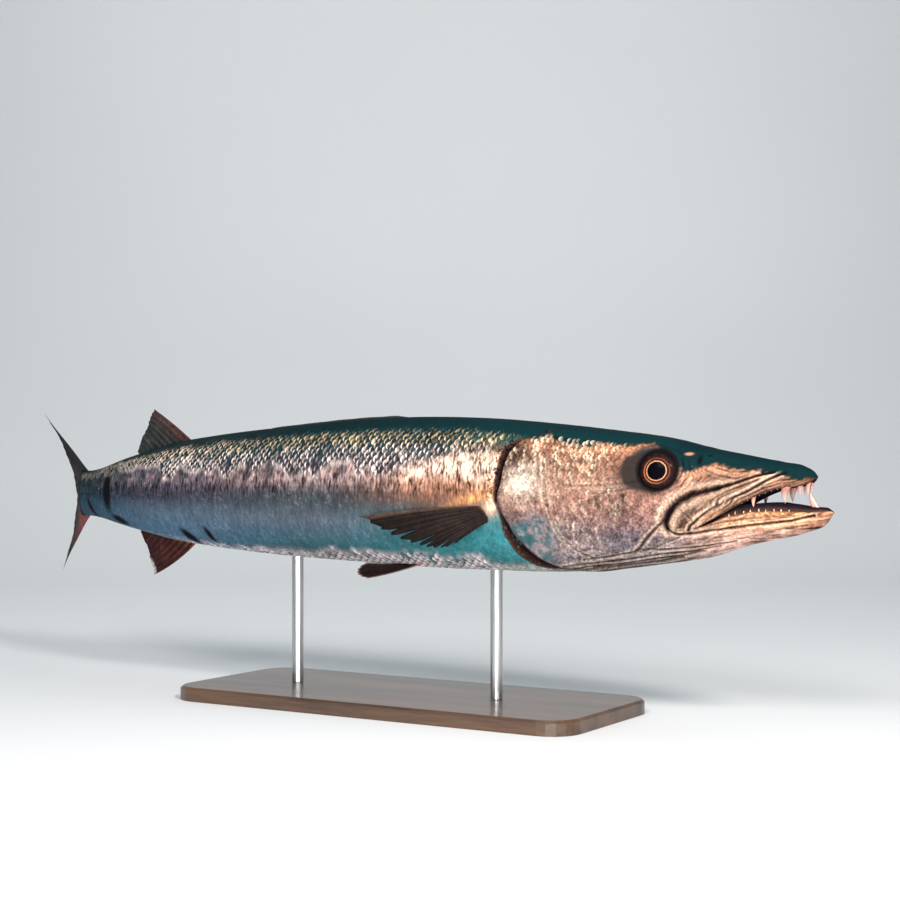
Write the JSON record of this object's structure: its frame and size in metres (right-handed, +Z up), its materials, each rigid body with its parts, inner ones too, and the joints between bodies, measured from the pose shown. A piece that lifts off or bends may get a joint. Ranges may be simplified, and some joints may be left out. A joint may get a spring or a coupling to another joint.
{
  "type": "great barracuda",
  "caption": "Life-size barracuda swimming with its tail swung aside and its toothed jaws parted, held by a plain display stand.",
  "frame": {"origin": "centre of the stand's base on its underside, where it rests on the floor", "axes": "+X along the straight front of the body towards the snout, +Y to the fish's left, +Z up"},
  "size_m": [1.1048, 0.2798, 0.302],
  "materials": {
    "skin_silver": "silvery skin under fine scales",
    "jaw_gold": "wet golden skin over bone",
    "fin_dark": "dark membrane over rays",
    "fin_red": "red-brown membrane over rays",
    "eye_dark": "wet, polished",
    "stand_wood": "dark satin",
    "stand_steel": "brushed"
  },
  "bodies": {
    "root": {"upper_jaw": "skin_silver", "head": "skin_silver", "lower_jaw": "jaw_gold", "maxilla_left": "jaw_gold", "maxilla_right": "jaw_gold", "eye_left": "eye_dark", "eye_right": "eye_dark", "gill_cover_left": "skin_silver", "gill_cover_right": "skin_silver", "trunk_front": "skin_silver", "trunk_middle": "skin_silver", "trunk_rear": "skin_silver", "tail_stalk": "skin_silver", "first_dorsal_fin": "fin_dark", "second_dorsal_fin": "fin_dark", "anal_fin": "fin_red", "tail_fin_upper": "fin_dark", "tail_fin_lower": "fin_dark", "pectoral_fin_left": "fin_dark", "pectoral_fin_right": "fin_dark", "pelvic_fin_left": "fin_red", "pelvic_fin_right": "fin_red", "stand_base": "stand_wood", "stand_rod_front": "stand_steel", "stand_rod_rear": "stand_steel"}
  },
  "joints": []
}
